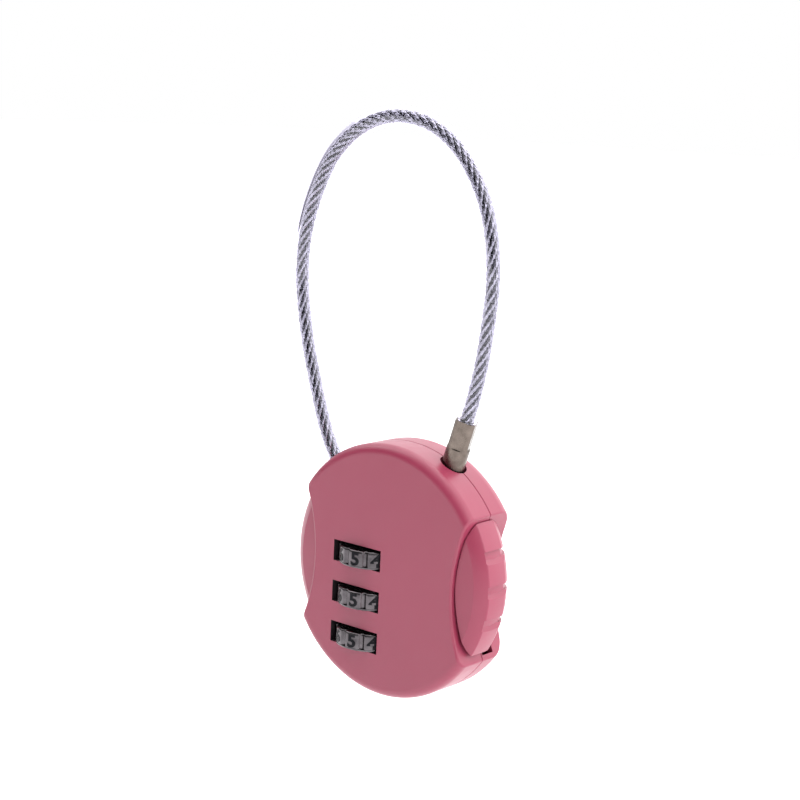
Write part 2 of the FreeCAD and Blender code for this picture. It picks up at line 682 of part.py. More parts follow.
def make_dial_frame():
    rails = [
        box("rail_left", ("frame_left_x", "frame_front_y", "frame_low_z"),
            ("frame_left_x + rail_left_width", "frame_rear_y", "frame_top_z")),
        box("rail_right", ("frame_right_x - rail_right_width", "frame_front_y", "frame_low_z"),
            ("frame_right_x", "frame_rear_y", "frame_top_z")),
    ]
    tops = [wheel_z(0) + " + wheel_above + web_gap + web_top"]
    lows = [wheel_z(0) + " + wheel_above + web_gap"]
    for i in range(len(WHEELS)):
        tops.append(wheel_z(i) + " - wheel_below - web_gap")
        last = i == len(WHEELS) - 1
        lows.append("frame_low_z" if last else wheel_z(i + 1) + " + wheel_above + web_gap")
    webs = [box("web_%d" % i, ("frame_left_x", "frame_front_y", low), ("frame_right_x", "frame_rear_y", top))
            for i, (low, top) in enumerate(zip(lows, tops))]
    shelf = box("shelf", ("frame_left_x", "frame_front_y", "frame_top_z - shelf_height"),
                ("frame_right_x", "frame_rear_y", "frame_top_z"))
    ledge = box("ledge", ("frame_right_x - 0.1", "ledge_front_y", "0"),
                ("ledge_right_x", "ledge_rear_y", "ledge_height"))
    solid = fuse("dial_frame_whole", rails + webs + [shelf, ledge])
    bore = cylinder("web_bore_tool", "web_bore", "frame_top_z - shelf_height - 0.5 - frame_low_z",
                    ("wheel_x", "wheel_y", "frame_low_z - 0.1"))
    top_bore = cylinder("shelf_bore_tool", "shelf_bore", "4", ("wheel_x", "wheel_y", "frame_top_z - 2"))
    finish(cut("dial_frame_solid", solid, [bore, top_bore]), "dial_frame")


# ---- Springs ----

def coil_spring(label, x, y, low, high, coil, wire, turns):
    """A round-wire helix between two seats."""
    helix = doc.addObject("Part::Helix", label + "_path")
    length = "(%s) - (%s) - 2 * %s" % (high, low, wire)
    bind(helix, "Height", length)
    bind(helix, "Pitch", "(%s) / %s" % (length, turns))
    bind(helix, "Radius", coil)
    place(helix, x, y, "(%s) + %s" % (low, wire))
    section = doc.addObject("Part::Circle", label + "_section")
    bind(section, "Radius", wire)
    section.Placement.Rotation = FreeCAD.Rotation(V(1, 0, 0), 90)
    place(section, "(%s) + %s" % (x, coil), y, "(%s) + %s" % (low, wire))
    sweep = doc.addObject("Part::Sweep", label + "_sweep")
    sweep.Sections = [section]
    sweep.Spine = (helix, [])
    sweep.Solid = True
    sweep.Frenet = True
    finish(sweep, label)


def make_detent_spring():
    """A leaf on the dial frame's rail, with a finger and a bump for each number wheel."""
    leaf_rear = "leaf_front_y + leaf_thickness"
    parts = [box("leaf_spine", ("frame_left_x", "leaf_front_y", "frame_low_z"),
                 ("frame_left_x + leaf_spine_width", leaf_rear, "wheel_above + window_top_z")),
             box("leaf_foot", ("frame_left_x", "frame_rear_y", "frame_low_z"),
                 ("frame_left_x + rail_left_width", leaf_rear, "wheel_above + window_top_z"))]
    bump_angle = 180 - 180 / size("digit_count") + size("wheel_turn")
    bump_x = size("wheel_x") + size("wheel_radius") * math.sin(math.radians(bump_angle))
    for i, wheel in enumerate(WHEELS):
        middle = "(%s + (wheel_above - wheel_below) / 2)" % wheel_z(i)
        parts.append(box("leaf_finger_" + wheel,
                         ("frame_left_x + 0.2", "leaf_front_y", middle + " - leaf_finger_height / 2"),
                         ("leaf_tip_x", leaf_rear, middle + " + leaf_finger_height / 2")))
        parts.append(cylinder("leaf_bump_" + wheel, "leaf_bump_radius", "leaf_finger_height",
                              ("%.4f" % bump_x, "leaf_front_y", middle + " - leaf_finger_height / 2")))
    finish(fuse("detent_spring_solid", parts), "detent_spring")


def make_latch_spring():
    """A U of round wire. Its legs run along Y on each side of the plug's groove."""
    offset = size("latch_leg_offset")
    front = size("latch_front_y + parting_y")
    rear = size("latch_rear_y + parting_y")
    centre = V(size(port_point("groove_t")[0]), 0, size(port_point("groove_t")[1]))
    across = V(size("port_lean_z"), 0, -size("port_lean_x"))
    bend = offset - size("latch_wire") * 0.5
    left = centre - across * offset
    right = centre + across * offset
    y_way = V(0, 1, 0)
    bow = centre + y_way * (front - bend)
    path = Part.Wire([
        Part.LineSegment(left + y_way * rear, left + y_way * front).toShape(),
        Part.Arc(left + y_way * front, bow, right + y_way * front).toShape(),
        Part.LineSegment(right + y_way * front, right + y_way * rear).toShape(),
    ])
    section = Part.Wire([Part.Circle(left + y_way * rear, y_way, size("latch_wire")).toShape()])
    obj = doc.addObject("Part::Feature", "latch_spring_solid")
    obj.Shape = path.makePipeShell([section], True, False)
    finish(obj, "latch_spring")


# ---- Reset pin ----

def make_reset_pin():
    pin = cylinder("reset_pin_shank", "reset_radius", "flange_top_z - reset_low_z",
                   ("wheel_x", "wheel_y", "reset_low_z"))
    flange = cylinder("reset_pin_flange", "flange_radius", "flange_top_z - flange_low_z",
                      ("wheel_x", "wheel_y", "flange_low_z"))
    finish(fuse("reset_pin_solid", [pin, flange]), "reset_pin")


# ---- Cable end ----

def make_latch_plug():
    """A turned pin on the port's axis, its groove held by the latch spring."""
    x, z = port_point("0")
    body = new_body("latch_plug_body", x, "0", z)
    body.Placement.Rotation = FreeCAD.Rotation(Z_AXIS, port_axis())
    profile = new_sketch(body, "latch_plug_profile", "XZ_Plane")
    groove_low = "groove_t - plug_groove_width / 2"
    groove_top = "groove_t + plug_groove_width / 2"
    add_outline(profile, [
        ("0", "plug_inner_t"), ("plug_radius - plug_point", "plug_inner_t"),
        ("plug_radius", "plug_inner_t + plug_point"), ("plug_radius", groove_low),
        ("plug_groove_radius", groove_low), ("plug_groove_radius", groove_top),
        ("plug_radius", groove_top), ("plug_radius", "plug_outer_t"), ("0", "plug_outer_t"),
    ])
    revolve(body, "latch_plug_turned", profile, "Z_Axis")
    finish(body, "latch_plug")


def make_ferrule():
    """A round sleeve that was crimped to four flats."""
    x, z = port_point("plug_outer_t")
    length = "ferrule_top_t - plug_outer_t"
    sleeve = cylinder("ferrule_round", "ferrule_radius", length, (x, "0", z), port_axis())
    flats = doc.addObject("Part::Prism", "ferrule_flats")
    flats.Polygon = 4
    bind(flats, "Circumradius", "ferrule_flat / sqrt(2)")
    bind(flats, "Height", length)
    turn = FreeCAD.Rotation(Z_AXIS, 45 + size("ferrule_flat_turn"))
    flats.Placement.Rotation = FreeCAD.Rotation(Z_AXIS, port_axis()).multiply(turn)
    place(flats, x, "0", z)
    finish(common("ferrule_solid", [sleeve, flats]), "ferrule")


def tilted_box(name, across, front, rear, low_t, top_t):
    """A box square to the port's axis."""
    obj = doc.addObject("Part::Box", name)
    bind(obj, "Length", "2 * (%s)" % across)
    bind(obj, "Width", "(%s) - (%s)" % (rear, front))
    bind(obj, "Height", "(%s) - (%s)" % (top_t, low_t))
    obj.Placement.Rotation = FreeCAD.Rotation(Z_AXIS, port_axis())
    x, z = port_point(low_t, "-(%s)" % across)
    place(obj, x, front, z)
    return obj


def make_latch_block():
    block = tilted_box("latch_block_whole", "block_half", "block_front_y", "block_rear_y",
                       "block_low_t", "block_top_t")
    slot = tilted_box("latch_block_slot", "block_slot_half", "block_front_y - 5", "block_rear_y + 1",
                      "groove_t - block_slot / 2", "groove_t + block_slot / 2")
    x, z = port_point("block_low_t - 1")
    bore = cylinder("latch_block_bore", "block_bore", "12", (x, "0", z), port_axis())
    finish(cut("latch_block_solid", block, [slot, bore]), "latch_block")


# ---- Cable ----

def route_path():
    """Straight runs joined by tangent arcs, each as large as its two runs allow."""
    y = size("parting_y")
    points = [V(x, y, z) for x, z in ROUTE]
    runs = [(b - a).Length for a, b in zip(points, points[1:])]
    edges = []
    radii = []
    here = points[0]
    for i in range(1, len(points) - 1):
        into = (points[i] - points[i - 1]).normalize()
        out = (points[i + 1] - points[i]).normalize()
        turn = into.getAngle(out)
        reach = 0.45 * min(runs[i - 1], runs[i])
        radius = reach / math.tan(turn / 2)
        radii.append(radius)
        start = points[i] - into * reach
        end = points[i] + out * reach
        inward = (out - into).normalize()
        middle = points[i] + inward * (radius / math.cos(turn / 2) - radius)
        edges.append(Part.LineSegment(here, start).toShape())
        edges.append(Part.Arc(start, middle, end).toShape())
        here = end
    edges.append(Part.LineSegment(here, points[-1]).toShape())
    print("cable arc radii:", " ".join("%.1f" % r for r in radii))
    print("cable length: %.1f" % sum(edge.Length for edge in edges))
    return Part.Wire(edges)


def tube_on(path, radius):
    start = path.Edges[0].Vertexes[0].Point
    way = (path.Edges[0].Vertexes[1].Point - start).normalize()
    section = Part.Wire([Part.Circle(start, way, radius).toShape()])
    tube = path.makePipeShell([section], True, False)
    expected = math.pi * radius * radius * path.Length
    if abs(tube.Volume - expected) > 0.01 * expected:
        raise RuntimeError("cable volume %.2f, expected %.2f" % (tube.Volume, expected))
    return tube


def make_cable():
    path = route_path()
    core = tube_on(path, size("core_radius"))
    jacket = tube_on(path, size("jacket_radius")).cut(core)
    for label, shape in (("cable_core", core), ("cable_jacket", jacket)):
        obj = doc.addObject("Part::Feature", label + "_solid")
        obj.Shape = shape
        finish(obj, label)


def make_cable_anchor():
    finish(cable_cylinder("cable_anchor_solid", "anchor_radius", "anchor_length", "0"), "cable_anchor")


# ---- Screws ----

def make_screws():
    screws = []
    for i, (x, z) in enumerate(SCREWS):
        head_y = "(shell_depth - screw_sink_depth + 0.05)"
        head = cylinder("screw_head_%d" % i, "screw_head_radius", "screw_head_height",
                        (str(x), head_y, str(z)), V(0, 1, 0))
        shank = cylinder("screw_shank_%d" % i, "screw_shank_radius", head_y + " - screw_reach_y",
                         (str(x), "screw_reach_y", str(z)), V(0, 1, 0))
        whole = fuse("screw_%d_blank" % i, [head, shank])
        top = head_y + " + screw_head_height"
        long, wide = "recess_length / 2", "recess_width / 2"
        slots = []
        for k, (dx, dz) in enumerate(((long, wide), (wide, long))):
            slots.append(box("screw_%d_slot_%d" % (i, k),
                             ("%s - %s" % (x, dx), top + " - recess_depth", "%s - %s" % (z, dz)),
                             ("%s + %s" % (x, dx), top + " + 1", "%s + %s" % (z, dz))))
        screws.append(cut("screw_%d" % i, whole, slots))
    finish(compound("case_screw_set", screws), "case_screws")


# ---- Build, check and write ----

def check_document():
    for obj in doc.Objects:
        for state in obj.State:
            if state in ("Invalid", "Error"):
                raise RuntimeError("%s is %s" % (obj.Name, state))
    for label, obj in PIECES.items():
        if obj.Shape.isNull() or not obj.Shape.isValid():
            raise RuntimeError(label + " has no valid shape")
        if not obj.Shape.Solids:
            raise RuntimeError(label + " has no solid")


def write_pieces():
    os.makedirs("parts", exist_ok=True)
    for label, obj in PIECES.items():
        obj.Shape.exportStep("parts/%s.step" % label)
        bounds = obj.Shape.BoundBox
        print("%-22s %2d solids %9.2f mm3  y %.2f..%.2f" % (
            label, len(obj.Shape.Solids), obj.Shape.Volume, bounds.YMin, bounds.YMax))


def main():
    fill_sheet()
    make_front_shell()
    make_rear_shell()
    for side, sign in SIDES:
        make_grip(side, sign)
    make_yoke()
    make_grip_pins()
    make_spindle()
    for index, wheel in enumerate(WHEELS):
        make_wheel(index, wheel)
        make_sleeve(index, wheel)
    make_dial_frame()
    make_detent_spring()
    coil_spring("return_spring", "return_x", "return_y", "ledge_height", "beam_low_z",
                "return_coil", "return_wire", "return_turns")
    coil_spring("reset_spring", "wheel_x", "wheel_y", "reset_spring_low", "reset_spring_high",
                "reset_coil", "reset_wire", "reset_turns")
    make_latch_spring()
    make_reset_pin()
    make_latch_plug()
    make_ferrule()
    make_latch_block()
    make_cable()
    make_cable_anchor()
    make_screws()
    doc.recompute()
    check_document()
    write_pieces()


main()
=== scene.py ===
"""Cable luggage lock: looks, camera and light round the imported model. Lengths are in metres."""
import json
import math

import bmesh
import bpy
from mathutils import Matrix, Vector


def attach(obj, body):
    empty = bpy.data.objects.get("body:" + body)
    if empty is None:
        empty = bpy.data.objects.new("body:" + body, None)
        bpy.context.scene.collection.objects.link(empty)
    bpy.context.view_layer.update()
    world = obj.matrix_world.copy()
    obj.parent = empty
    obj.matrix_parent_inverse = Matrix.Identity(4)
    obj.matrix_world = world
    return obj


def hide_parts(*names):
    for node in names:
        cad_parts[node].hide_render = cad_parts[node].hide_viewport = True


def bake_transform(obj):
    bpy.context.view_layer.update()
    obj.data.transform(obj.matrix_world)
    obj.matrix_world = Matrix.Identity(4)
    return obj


MM = 0.001
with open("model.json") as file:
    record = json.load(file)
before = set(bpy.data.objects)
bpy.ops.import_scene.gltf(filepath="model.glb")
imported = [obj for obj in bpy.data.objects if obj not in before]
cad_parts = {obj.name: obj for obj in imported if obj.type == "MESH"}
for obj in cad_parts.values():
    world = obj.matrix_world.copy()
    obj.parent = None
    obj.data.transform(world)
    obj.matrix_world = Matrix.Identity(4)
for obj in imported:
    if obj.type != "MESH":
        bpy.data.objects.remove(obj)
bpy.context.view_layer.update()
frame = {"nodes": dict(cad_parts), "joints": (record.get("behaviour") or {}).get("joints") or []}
nodes = frame["nodes"]

JOINTS = {joint["name"]: joint for joint in frame["joints"]}
WHEELS = ("top", "middle", "bottom")
WHEEL_X = JOINTS["dial_top_turn"]["pos_m"][0]
PARTING_Y = 0.86 * MM
FACE_Y = -5.44 * MM


# ---- Small helpers ----

def smooth(obj, angle=40):
    """Smooth shading, with edges sharper than the angle kept sharp."""
    for face in obj.data.polygons:
        face.use_smooth = True
    limit = math.radians(angle)
    shape = bmesh.new()
    shape.from_mesh(obj.data)
    for edge in shape.edges:
        edge.smooth = len(edge.link_faces) == 2 and edge.calc_face_angle(0) < limit
    shape.to_mesh(obj.data)
    shape.free()
    return obj


def mesh_object(name, shape, material=None):
    mesh = bpy.data.meshes.new(name)
    bmesh.ops.recalc_face_normals(shape, faces=shape.faces)
    shape.to_mesh(mesh)
    shape.free()
    obj = bpy.data.objects.new(name, mesh)
    bpy.context.scene.collection.objects.link(obj)
    if material:
        mesh.materials.append(material)
    return obj


def ring_loop(shape, centre, side, up, radii):
    """One ring of vertices. radii gives the radius at each angle."""
    count = len(radii)
    ring = []
    for i, radius in enumerate(radii):
        angle = 2 * math.pi * i / count
        ring.append(shape.verts.new(centre + (side * math.cos(angle) + up * math.sin(angle)) * radius))
    return ring


def skin(shape, rings, closed_ends=True):
    for low, high in zip(rings, rings[1:]):
        count = len(low)
        for i in range(count):
            j = (i + 1) % count
            shape.faces.new((low[i], low[j], high[j], high[i]))
    if closed_ends:
        shape.faces.new(list(reversed(rings[0])))
        shape.faces.new(rings[-1])


# ---- Materials ----

class Nodes:
    """A new material's node tree, with short calls to add and join nodes."""

    def __init__(self, name):
        self.material = bpy.data.materials.new(name)
        self.material.use_nodes = True
        self.tree = self.material.node_tree
        self.shader = self.tree.nodes["Principled BSDF"]

    def add(self, kind, **values):
        node = self.tree.nodes.new("ShaderNode" + kind)
        for key, value in values.items():
            if hasattr(node, key):
                setattr(node, key, value)
            else:
                node.inputs[key.replace("_", " ")].default_value = value
        return node

    def join(self, source, target):
        self.tree.links.new(source, target)

    def noise(self, scale, detail=3, stretch=None):
        """Noise over the object's own coordinates. scale is in blobs per millimetre."""
        coordinates = self.add("TexCoord")
        mapping = self.add("Mapping")
        mapping.inputs["Scale"].default_value = [1000 * s for s in (stretch or (1, 1, 1))]
        self.join(coordinates.outputs["Object"], mapping.inputs["Vector"])
        noise = self.add("TexNoise", Scale=scale, Detail=detail)
        self.join(mapping.outputs["Vector"], noise.inputs["Vector"])
        return noise.outputs["Fac"]

    def spread(self, source, low, high):
        """Map a noise value to a range."""
        mapped = self.add("MapRange")
        for key, value in (("From Min", 0.3), ("From Max", 0.7), ("To Min", low), ("To Max", high)):
            mapped.inputs[key].default_value = value
        self.join(source, mapped.inputs["Value"])
        return mapped.outputs["Result"]

    def two_tone(self, source, first, second):
        ramp = self.add("ValToRGB")
        ramp.color_ramp.elements[0].position = 0.3
        ramp.color_ramp.elements[1].position = 0.7
        ramp.color_ramp.elements[0].color = (*first, 1)
        ramp.color_ramp.elements[1].color = (*second, 1)
        self.join(source, ramp.inputs["Fac"])
        self.join(ramp.outputs["Color"], self.shader.inputs["Base Color"])

    def bump(self, source, height_mm, strength=1.0):
        bump = self.add("Bump")
        bump.inputs["Strength"].default_value = strength
        bump.inputs["Distance"].default_value = height_mm * MM
        self.join(source, bump.inputs["Height"])
        self.join(bump.outputs["Normal"], self.shader.inputs["Normal"])

    def set(self, **values):
        for key, value in values.items():
            self.shader.inputs[key.replace("_", " ")].default_value = value
        return self


def pink_plastic():
    m = Nodes("pink_plastic").set(IOR=1.5)
    broad = m.noise(0.05, 2)
    m.two_tone(broad, (0.250, 0.029, 0.064), (0.264, 0.032, 0.069))
    m.join(m.spread(m.noise(0.35, 3), 0.33, 0.40), m.shader.inputs["Roughness"])
    m.bump(m.noise(4.0, 2), 0.004, 0.35)
    return m.material


def metal(name, first, second, rough_low, rough_high, grain=1.5, bump_mm=0.006, stretch=None):
    m = Nodes(name).set(Metallic=1.0)
    m.two_tone(m.noise(0.6, 4), first, second)
    m.join(m.spread(m.noise(grain, 4, stretch), rough_low, rough_high), m.shader.inputs["Roughness"])
    m.bump(m.noise(grain * 2, 3, stretch), bump_mm, 0.5)
    return m.material


def clear_plastic():
    """Clear flexible sleeve: a glossy skin, and a cool tint that deepens where the wall is seen edge-on."""
    m = Nodes("clear_plastic").set(IOR=1.42, Transmission_Weight=1.0)
    m.two_tone(m.noise(0.4, 2), (0.90, 0.89, 0.95), (0.95, 0.94, 0.99))
    m.join(m.spread(m.noise(0.8, 3), 0.02, 0.06), m.shader.inputs["Roughness"])
    m.bump(m.noise(0.6, 2), 0.01, 0.25)
    depth_tint = m.add("VolumeAbsorption", Color=(0.60, 0.55, 0.75, 1), Density=500)
    m.join(depth_tint.outputs["Volume"], m.tree.nodes["Material Output"].inputs["Volume"])
    return m.material


def black_plastic():
    m = Nodes("black_plastic")
    m.two_tone(m.noise(0.5, 3), (0.012, 0.008, 0.010), (0.02, 0.014, 0.017))
    m.join(m.spread(m.noise(0.8, 3), 0.55, 0.7), m.shader.inputs["Roughness"])
    m.bump(m.noise(3.0, 2), 0.01, 0.4)
    return m.material


PINK = pink_plastic()
WHEEL = metal("dark_nickel", (0.06, 0.054, 0.058), (0.12, 0.108, 0.115), 0.14, 0.28)
# Painted shade: the near-black digit colour stands for the shade in engraved digits.
ENGRAVED_DIGIT_SHADE = metal("digit_painted_shade", (0.010, 0.010, 0.012), (0.02, 0.02, 0.022), 0.35, 0.5)
NICKEL = metal("warm_nickel", (0.105, 0.085, 0.073), (0.18, 0.148, 0.128), 0.20, 0.36, 1.0, 0.03)
ROPE = metal("rope_steel", (0.28, 0.28, 0.29), (0.50, 0.50, 0.515), 0.20, 0.32)
ZINC = metal("zinc", (0.50, 0.51, 0.53), (0.58, 0.59, 0.61), 0.35, 0.5)
STEEL = metal("steel", (0.24, 0.24, 0.25), (0.32, 0.32, 0.33), 0.2, 0.35)
CLEAR = clear_plastic()
BLACK = black_plastic()

NODE_MATERIALS = {
    "front_shell": PINK, "rear_shell": PINK, "left_grip": PINK, "right_grip": PINK,
    "latch_plug": NICKEL, "ferrule": NICKEL, "cable_anchor": ZINC, "case_screws": STEEL,
    "dial_frame": BLACK, "slider_yoke": ZINC, "latch_block": ZINC,
}


def paint_nodes():
    for name, node in nodes.items():
        material = NODE_MATERIALS.get(name, STEEL)
        node.data.materials.clear()
        node.data.materials.append(material)
    # Painted shade: the front shell's window walls and inside are made black.
    paint_window_shade(nodes["front_shell"])


WINDOWS_REACH = 6.5 * MM
WINDOWS_LOW_Z = -17.5 * MM
WINDOWS_TOP_Z = 6.5 * MM
OUTER_SKIN = 0.02 * MM
WALL_SKIN = 0.3 * MM


def paint_window_shade(shell):
    """Painted shade: behind the outer face, the windows' walls and the pink shell's inside round them get the
    black material, standing for the shade in the windows.
    """
    mesh = shell.data
    # The black material added here is painted shade for the windows, not the shell's own colour.
    mesh.materials.append(BLACK)
    for polygon in mesh.polygons:
        x, y, z = polygon.center
        by_windows = abs(x - WHEEL_X) < WINDOWS_REACH and WINDOWS_LOW_Z < z < WINDOWS_TOP_Z
        is_wall = abs(polygon.normal.y) < 0.5 and y > FACE_Y + OUTER_SKIN
        if by_windows and (is_wall or y > FACE_Y + WALL_SKIN):
            polygon.material_index = 1


# ---- Cable ----

# The same route as the cable's tube, as (x, z) in millimetres.
ROUTE = [(-15.3, 14.4), (-19.0, 19.2), (-22.1, 27.6), (-25.6, 38.3), (-27.6, 51.2), (-25.3, 62.5),
         (-19.1, 73.6), (-7.5, 79.2), (5.1, 76.5), (13.8, 66.4), (16.6, 54.4), (15.6, 42.8),
         (14.1, 33.7), (12.403, 28.118)]
JACKET_RADIUS = 1.75 * MM
JACKET_BORE = 1.32 * MM
JACKET_SIDES = 40
JACKET_STEPS = 24
ROPE_STEPS = 60


def route_points(per_span):
    """Points along the smooth line that the route's points control."""
    curve = bpy.data.curves.new("cable_route", "CURVE")
    curve.dimensions = "3D"
    curve.resolution_u = per_span
    spline = curve.splines.new("NURBS")
    spline.points.add(len(ROUTE) - 1)
    for point, (x, z) in zip(spline.points, ROUTE):
        point.co = (x * MM, PARTING_Y, z * MM, 1)
    spline.order_u = 3
    spline.use_endpoint_u = True
    holder = bpy.data.objects.new("cable_route", curve)
    bpy.context.scene.collection.objects.link(holder)
    line = bpy.data.meshes.new_from_object(holder)
    points = [vertex.co.copy() for vertex in line.vertices]
    bpy.data.objects.remove(holder)
    bpy.data.meshes.remove(line)
    return points


def frames_along(points):
    """Each point, its run so far, and two directions across the cable, which lies in an XZ plane."""
    side = Vector((0, 1, 0))
    out = []
    run = 0.0
    for i, point in enumerate(points):
        before = points[max(i - 1, 0)]
        after = points[min(i + 1, len(points) - 1)]
        way = (after - before).normalized()
        if i:
            run += (point - before).length
        out.append((point, run, side, way.cross(side).normalized()))
    return out


def cable_jacket(points):
    """A clear tube with a bore, closed at both ends by flat rings."""
    shape = bmesh.new()
    outer, inner = [], []
    for point, _, side, up in frames_along(points):
        outer.append(ring_loop(shape, point, side, up, [JACKET_RADIUS] * JACKET_SIDES))
        inner.append(ring_loop(shape, point, side, up, [JACKET_BORE] * JACKET_SIDES))
    skin(shape, outer, closed_ends=False)
    skin(shape, inner, closed_ends=False)
    for a, b in ((outer[0], inner[0]), (outer[-1], inner[-1])):
        for i in range(JACKET_SIDES):
            j = (i + 1) % JACKET_SIDES
            shape.faces.new((a[i], a[j], b[j], b[i]))
    obj = mesh_object("cable_jacket_tube", shape, CLEAR)
    return smooth(obj)


STRANDS = 6
STRAND_LAY = 13.0 * MM
STRAND_RADIUS = 0.40 * MM
WIRE_LAY = 4.2 * MM
WIRES = 6


def strand_outline():
    """A strand's section: its round wires seen as lobes. It gives the radius at each angle."""
    per_wire = 4
    phases = [2 * math.pi * i / per_wire for i in range(WIRES * per_wire)]
    return [STRAND_RADIUS * (0.90 + 0.10 * math.cos(phase)) for phase in phases]


def wire_rope(points):
    """Strands laid round a core strand. Each strand is a bundle of wires with the opposite lay."""
    shape = bmesh.new()
    line = frames_along(points)
    radii = strand_outline()
    for strand in range(STRANDS + 1):
        rings = []
        for point, run, side, up in line:
            turn = 2 * math.pi * (strand / STRANDS + run / STRAND_LAY)
            centre = point
            if strand < STRANDS:
                centre = point + (side * math.cos(turn) + up * math.sin(turn)) * STRAND_RADIUS * 2
            wire_turn = turn - 2 * math.pi * run / WIRE_LAY
            a = side * math.cos(wire_turn) + up * math.sin(wire_turn)
            b = up * math.cos(wire_turn) - side * math.sin(wire_turn)
            rings.append(ring_loop(shape, centre, a, b, radii))
        skin(shape, rings)
    return smooth(mesh_object("wire_rope", shape, ROPE), 80)


def make_cable():
    """The jacket and the rope, bent between the fixed end and the end that pulls out."""
    line = route_points(JACKET_STEPS)
    jacket = cable_jacket(line)
    rope = wire_rope(route_points(ROPE_STEPS))
    for piece, node in ((jacket, "cable_jacket"), (rope, "cable_core")):
        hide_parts(node)
        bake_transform(piece)


# ---- Number wheels ----

WHEEL_RADIUS = 6.25 * MM
WHEEL_BORE = 2.65 * MM
WHEEL_BELOW = 1.78 * MM
WHEEL_ABOVE = 1.32 * MM
WHEEL_TURN = math.radians(8.5)
WHEEL_STEPS = 480
RIM_HEIGHT = 0.32 * MM
RIM_RADIUS = WHEEL_RADIUS - 0.005 * MM
FACE_RADIUS = WHEEL_RADIUS - 0.07 * MM
GROOVE_HALF_WIDTH = 0.62 * MM
GROOVE_DEPTH = 0.42 * MM
DIGITS = 10
SHOWN_DIGIT = 5
DIGIT_HEIGHT = 2.4 * MM
DIGIT_STRETCH = 1.15
DIGIT_BOLDNESS = 0.03
DIGIT_MIDDLE_Z = 1.62 * MM
DIGIT_TOP = WHEEL_RADIUS - 0.006 * MM
DIGIT_SUNK = 0.1 * MM


# Height above the wheel's lower end and how far its edge is rounded there, in millimetres.
WHEEL_PROFILE = [(0, -0.16), (0.05, -0.05), (0.14, 0), (0.30, 0), (0.34, 0), (0.6, 0), (1.2, 0), (1.8, 0),
                 (2.4, 0), (2.86, 0), (3.0, -0.06), (3.1, -0.2)]


def wheel_radius_at(angle, height):
    """The wheel's outer radius: ten faces with rounded grooves between, over a plain lower rim."""
    if height < RIM_HEIGHT:
        return RIM_RADIUS
    step = 2 * math.pi / DIGITS
    from_middle = abs((angle + step / 2) % step - step / 2)
    from_groove = (step / 2 - from_middle) * WHEEL_RADIUS
    if from_groove >= GROOVE_HALF_WIDTH:
        return FACE_RADIUS
    share = 0.5 + 0.5 * math.cos(math.pi * from_groove / GROOVE_HALF_WIDTH)
    return FACE_RADIUS - GROOVE_DEPTH * share ** 0.6


def wheel_mesh():
    """One wheel about the Z axis, standing on z = 0, its shown digit facing -Y."""
    shape = bmesh.new()
    angles = [2 * math.pi * i / WHEEL_STEPS for i in range(WHEEL_STEPS)]

    def ring(radius_at, z):
        return [shape.verts.new((radius_at(a) * math.sin(a), -radius_at(a) * math.cos(a), z)) for a in angles]

    outer = [ring(lambda a: wheel_radius_at(a, height * MM) + inset * MM, height * MM)
             for height, inset in WHEEL_PROFILE]
    bore_low = ring(lambda a: WHEEL_BORE, 0)
    bore_top = ring(lambda a: WHEEL_BORE, WHEEL_BELOW + WHEEL_ABOVE)
    skin(shape, [bore_low] + outer + [bore_top, bore_low], closed_ends=False)
    return mesh_object("wheel_blank", shape, WHEEL)


def digit_marks():
    """Ten digits, each a thin solid sunk in its face and standing a hair proud of it. Their near-black colour
    is painted shade, standing for the shade in engraved digits.
    """
    shape = bmesh.new()
    for place in range(DIGITS):
        text = bpy.data.curves.new("digit", "FONT")
        text.body = str((SHOWN_DIGIT - place) % DIGITS)
        text.align_x = "CENTER"
        text.offset = DIGIT_BOLDNESS
        text.extrude = 0.5
        text.resolution_u = 4
        holder = bpy.data.objects.new("digit", text)
        bpy.context.scene.collection.objects.link(holder)
        mesh = bpy.data.meshes.new_from_object(holder)
        bpy.data.objects.remove(holder)
        low = min(v.co.y for v in mesh.vertices)
        high = max(v.co.y for v in mesh.vertices)
        left = min(v.co.x for v in mesh.vertices)
        right = max(v.co.x for v in mesh.vertices)
        scale = DIGIT_HEIGHT / (high - low)
        around = Matrix.Rotation(place * 2 * math.pi / DIGITS, 3, "Z")
        for vertex in mesh.vertices:
            x = (vertex.co.x - (left + right) / 2) * scale * DIGIT_STRETCH
            z = DIGIT_MIDDLE_Z + (vertex.co.y - (low + high) / 2) * scale
            radius = DIGIT_TOP if vertex.co.z > 0 else FACE_RADIUS - DIGIT_SUNK
            vertex.co = around @ Vector((x, -math.sqrt(radius ** 2 - x ** 2), z))
        shape.from_mesh(mesh)
        bpy.data.meshes.remove(mesh)
    return mesh_object("digit_marks", shape, ENGRAVED_DIGIT_SHADE)


def make_wheels():
    """Each wheel is the same turned blank and the same ten digits, riding on its own body."""
    blank, marks = wheel_mesh(), digit_marks()
    for wheel in WHEELS:
        axis = Vector(JOINTS["dial_%s_turn" % wheel]["pos_m"])
        place = Matrix.Translation(axis - Vector((0, 0, WHEEL_BELOW))) @ Matrix.Rotation(WHEEL_TURN, 4, "Z")
        for kind, source, angle in (("faceted_wheel_", blank, 35), ("wheel_digits_", marks, 20)):
            mesh = source.data.copy()
            mesh.transform(place)
            obj = bpy.data.objects.new(kind + wheel, mesh)
            bpy.context.scene.collection.objects.link(obj)
            smooth(obj, angle)
            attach(obj, "wheel_" + wheel)
            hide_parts("number_wheel_" + wheel)
    for source in (blank, marks):
        bpy.data.objects.remove(source)


# ---- Camera, floor and light ----

CAMERA_AZIMUTH = 39.85
CAMERA_ELEVATION = 9.91
CAMERA_ROLL = 2.65
CAMERA_DISTANCE = 297.64 * MM
CAMERA_LENS = 75.8
AIM_ABOVE = 29.27 * MM
AIM_LEFT = 0.81 * MM
AIM_BEHIND = 0.28 * MM
FLOOR_Z = -62 * MM
FLOOR_REACH = 6


